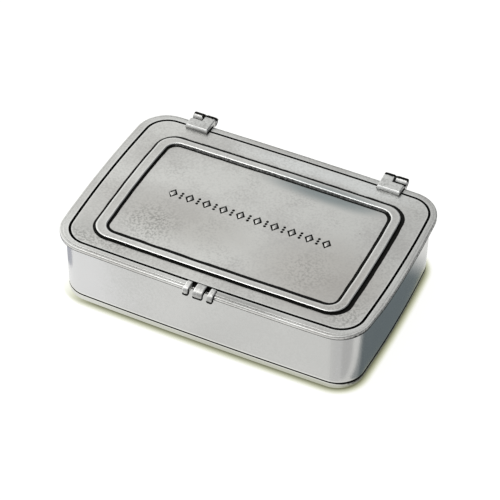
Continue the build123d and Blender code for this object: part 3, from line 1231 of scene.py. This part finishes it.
# patches are (towards, where it starts, where it is full, colour)
sky = {
    "ground": (0.22, 0.23, 0.24),
    "patches": (
        ((-0.80, 0.30, 0.50), 0.52, 0.90, (0.83, 0.83, 0.81)),
        ((-0.20, 0.00, 0.98), 0.86, 0.97, (0.8, 0.8, 0.8)),
        ((-0.92, 0.20, 0.30), 0.90, 0.98, (0.9, 0.9, 0.9)),
        ((-0.40, -0.80, 0.45), 0.75, 0.95, (0.4, 0.4, 0.4)),
    ),
}


def makeWorld():
    world = bpy.data.worlds.new("studioWorld")
    bpy.context.scene.world = world
    world.use_nodes = True
    tree = world.node_tree
    direction = addNode(tree, "TexCoord").outputs["Generated"]
    light = sky["ground"]
    for towards, start, full, colour in sky["patches"]:
        share = rampNode(facingNode(direction, towards), start, full)
        light = mixColour(share, light, colour, blend_type="ADD")
    seen = addNode(tree, "LightPath").outputs["Is Camera Ray"]
    shown = mixColour(seen, light, (1.0, 1.0, 1.0))
    setSocket(tree.nodes["Background"].inputs["Color"], shown)


def emptyMaterial(name):
    material = bpy.data.materials.new(name)
    material.use_nodes = True
    material.node_tree.nodes.clear()
    return material, material.node_tree


def rampAlong(tree, axis, low, high):
    split = addNode(tree, "SeparateXYZ", Vector=addNode(tree, "TexCoord").outputs["Object"])
    return rampNode(split.outputs[axis], low * mm, high * mm), split.outputs[axis]


# painted contact shadow: lightness of the table near the box, from 0 in the contact shadow to 1 in
# the open
def floorLightness(tree, seenInMetal):
    reach = studio["contactReach"] * mm
    openness = addNode(tree, "AmbientOcclusion", samples=16, Distance=reach)
    lit = rampNode(openness.outputs["AO"], *studio["contactRamp"], curve="LINEAR")
    openLeft, across = rampAlong(tree, "X", *studio["openLeft"])
    middle, slope = studio["mirrored"]
    mirrored = times(scaled(across, slope, middle), rampAlong(tree, "X", *studio["mirroredEnd"])[0])
    return larger(larger(lit, openLeft), times(mirrored, seenInMetal))


def makeFloor():
    bm = bmesh.new()
    bmesh.ops.create_grid(bm, x_segments=1, y_segments=1, size=studio["floorWidth"] / 2)
    floor = finishMesh("floor", bm)
    floor.location.z = -studio["floorDrop"] * mm
    material, tree = emptyMaterial("whiteTable")
    path = addNode(tree, "LightPath").outputs
    lit = floorLightness(tree, path["Is Glossy Ray"])
    colour = mixColour(lit, studio["contact"], studio["contactFade"])
    lit = mathNode("POWER", lit, studio["contactPower"])
    away = lengthNode(addNode(tree, "TexCoord").outputs["Object"])
    dim = rampNode(away, *(reach * mm for reach in studio["farRamp"]))
    dim = times(dim, path["Is Glossy Ray"])
    glow = addNode(tree, "Emission", Color=mixColour(lit, colour, studio["glow"]),
                   Strength=scaled(dim, -studio["farDim"], 1.0))
    paint = addNode(tree, "BsdfDiffuse", Color=(*studio["paint"], 1))
    both = feed(addNode(tree, "AddShader"), glow.outputs[0], paint.outputs[0])[0]
    plain = addNode(tree, "BsdfDiffuse", Color=(*studio["plain"], 1))
    seen = larger(path["Is Camera Ray"], path["Is Glossy Ray"])
    seen = larger(seen, path["Is Transmission Ray"])
    shown = mixShader(seen, plain.outputs[0], both)
    clear = addNode(tree, "BsdfTransparent").outputs[0]
    below = addNode(tree, "NewGeometry").outputs["Backfacing"]
    addNode(tree, "OutputMaterial", Surface=mixShader(below, shown, clear))
    floor.data.materials.append(material)


# glowing flat cards that only the metal sees, painted reflections dark and light; a card may fade
# out towards the back
cards = {
    "rightFirst": {
        "outline": ((53.6, -32.6), (120, 13), (120, 30), (65, -19), (53.6, -28.6)),
        "colour": (0.40, 0.43, 0.44),
    },
    "right": {
        "outline": ((53.6, -28.6), (65, -19), (120, 30), (190, 75), (190, 80), (53.6, 80)),
        "colour": (0.18, 0.215, 0.23), "fadeBack": (22, 38),
    },
    "cornerFirst": {
        "outline": ((44.4, -36.6), (33, -90), (47, -90), (46, -36.5)),
        "colour": (0.945, 0.945, 0.94),
    },
    "cornerNext": {
        "outline": ((46, -36.5), (47, -90), (57, -90), (47, -36.5)),
        "colour": (0.92, 0.92, 0.915),
    },
    "cornerFront": {
        "outline": ((47, -36.5), (57, -90), (88.8, -90), (50, -36.4)),
        "colour": (0.91, 0.91, 0.91),
    },
    "cornerSide": {
        "outline": (
            (50, -36.4), (88.8, -90), (130, -90), (130, -49), (66.5, -33.6), (60, -34.4),
            (53.5, -35.0),
        ),
        "colour": (0.76, 0.76, 0.76),
    },
    "left": {
        "outline": (
            (-50, -10), (-55, -16.2), (-59.6, -21.6), (-61.2, -29), (-60.5, -35),
            (-110, -40), (-110, 40), (-50, 40),
        ),
        "colour": (0.55, 0.56, 0.61), "fadeBack": (2, 30),
    },
}
cardLift = 0.3
cardFade = (1.0, 1.0, 0.98)


def makeCard(name, card):
    bm = bmesh.new()
    bm.faces.new([bm.verts.new((x * mm, y * mm, cardLift * mm)) for x, y in card["outline"]])
    sheet = finishMesh(name, bm)
    material, tree = emptyMaterial(name)
    colour = (*card["colour"], 1)
    if "fadeBack" in card:
        gone = rampAlong(tree, "Y", *card["fadeBack"])[0]
        colour = mixColour(gone, card["colour"], cardFade)
    glow = addNode(tree, "Emission", Color=colour)
    addNode(tree, "OutputMaterial", Surface=glow.outputs[0])
    sheet.data.materials.append(material)
    sheet.visible_camera = False
    sheet.visible_diffuse = False
    sheet.visible_shadow = False
    sheet.visible_transmission = False


lamps = {
    "overhead": {"place": (-140, -60, 620), "size": (320, 320), "power": 0.9},
}


def makeLamp(name, lamp):
    light = bpy.data.lights.new(name, "AREA")
    light.shape = "RECTANGLE"
    light.size = lamp["size"][0] * mm
    light.size_y = lamp["size"][1] * mm
    light.energy = lamp["power"]
    holder = addObject(name, light)
    holder.location = Vector(lamp["place"]) * mm
    aim = Vector((0, 0, rimHigh.z * mm)) - holder.location
    holder.rotation_euler = aim.to_track_quat("-Z", "Y").to_euler()


cameraView = {
    "azimuth": 24.72,
    "elevation": 43.70,
    "roll": 1.08,
    "distance": 644.1,
    "focalPixels": 1995.0,
    "framePixels": 500.0,
    "sideShift": 0.18,
    "upShift": -9.85,
    "sensor": 36.0,
    "clip": (0.01, 20.0),  # in metres
}


def makeCamera():
    v = cameraView
    a, e, r = (math.radians(v[key]) for key in ("azimuth", "elevation", "roll"))
    back = Vector((math.sin(a) * math.cos(e), -math.cos(a) * math.cos(e), math.sin(e)))
    right = Vector((math.cos(a), math.sin(a), 0))
    up = back.cross(right)
    right, up = right * math.cos(r) + up * math.sin(r), up * math.cos(r) - right * math.sin(r)
    camera = bpy.data.cameras.new("photoView")
    camera.sensor_width = v["sensor"]
    camera.lens = v["focalPixels"] / v["framePixels"] * v["sensor"]
    camera.clip_start, camera.clip_end = v["clip"]
    holder = addObject("photoView", camera)
    target = Vector((0, 0, rimHigh.z))
    spot = target + back * v["distance"] + right * v["sideShift"] + up * v["upShift"]
    turn = holder.matrix_world.to_3x3()
    turn.col[0], turn.col[1], turn.col[2] = right, up, back
    holder.matrix_world = turn.to_4x4()
    holder.location = spot * mm
    bpy.context.scene.camera = holder


bpy.context.scene.view_settings.view_transform = "Standard"
rimMetal = pewterMaterial("rimPewter", rimPewter)
lidMetal = pewterMaterial("lidPewter", lidPewter)
hingeMetal = pewterMaterial("hingePewter", hingePewter)
catchMetal = pewterMaterial("catchPewter", catchPewter)
sheetMetal = pewterMaterial("sheetPewter", sheetPewter)
wireMetal = pewterMaterial("pinWire", wirePewter)
solderAndShadowMetal = pewterMaterial("solderAndShadow", solderAndShadowPewter)
shadowMetal = pewterMaterial("paintedShadow", shadowPewter)
print("stage: finishes made")

makeRim(rimMetal)
makeWall(sheetMetal)
makeBase(sheetMetal)
makeLid(lidMetal)
print("stage: rim, wall, base and lid made")

hingeSoft, catchSoft = hingeFinish["softening"], catchFinish["softening"]
for side in ("left", "right"):
    castFrom(side + "_lid_leaf", hingeMetal, "lid", hingeSoft, hingeFinishAt)
    castFrom(side + "_hinge_bracket", hingeMetal, "box", hingeSoft, bracketFinishAt)
    castFrom(side + "_catch_lug", catchMetal, "box", catchSoft, catchFinishAt, bendDown)
    makeLeafSolder(side + "_leaf_solder", side + "_lid_leaf", solderAndShadowMetal)
    makeSideShadow(side + "_side_shadow", side + "_lid_leaf", shadowMetal)
    makeGapShadow(side + "_gap_shadow", side + "_hinge_pin", shadowMetal)
    giveMaterial(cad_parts[side + "_hinge_pin"], wireMetal)
castFrom("catch_tongue", catchMetal, "lid", catchSoft, catchFinishAt, bendDown)
print("stage: hinges and catch made")

makeWorld()
makeFloor()
for cardName, card in cards.items():
    makeCard(cardName + "Card", card)
for lampName, lamp in lamps.items():
    makeLamp(lampName, lamp)
makeCamera()
print("stage: studio ready")
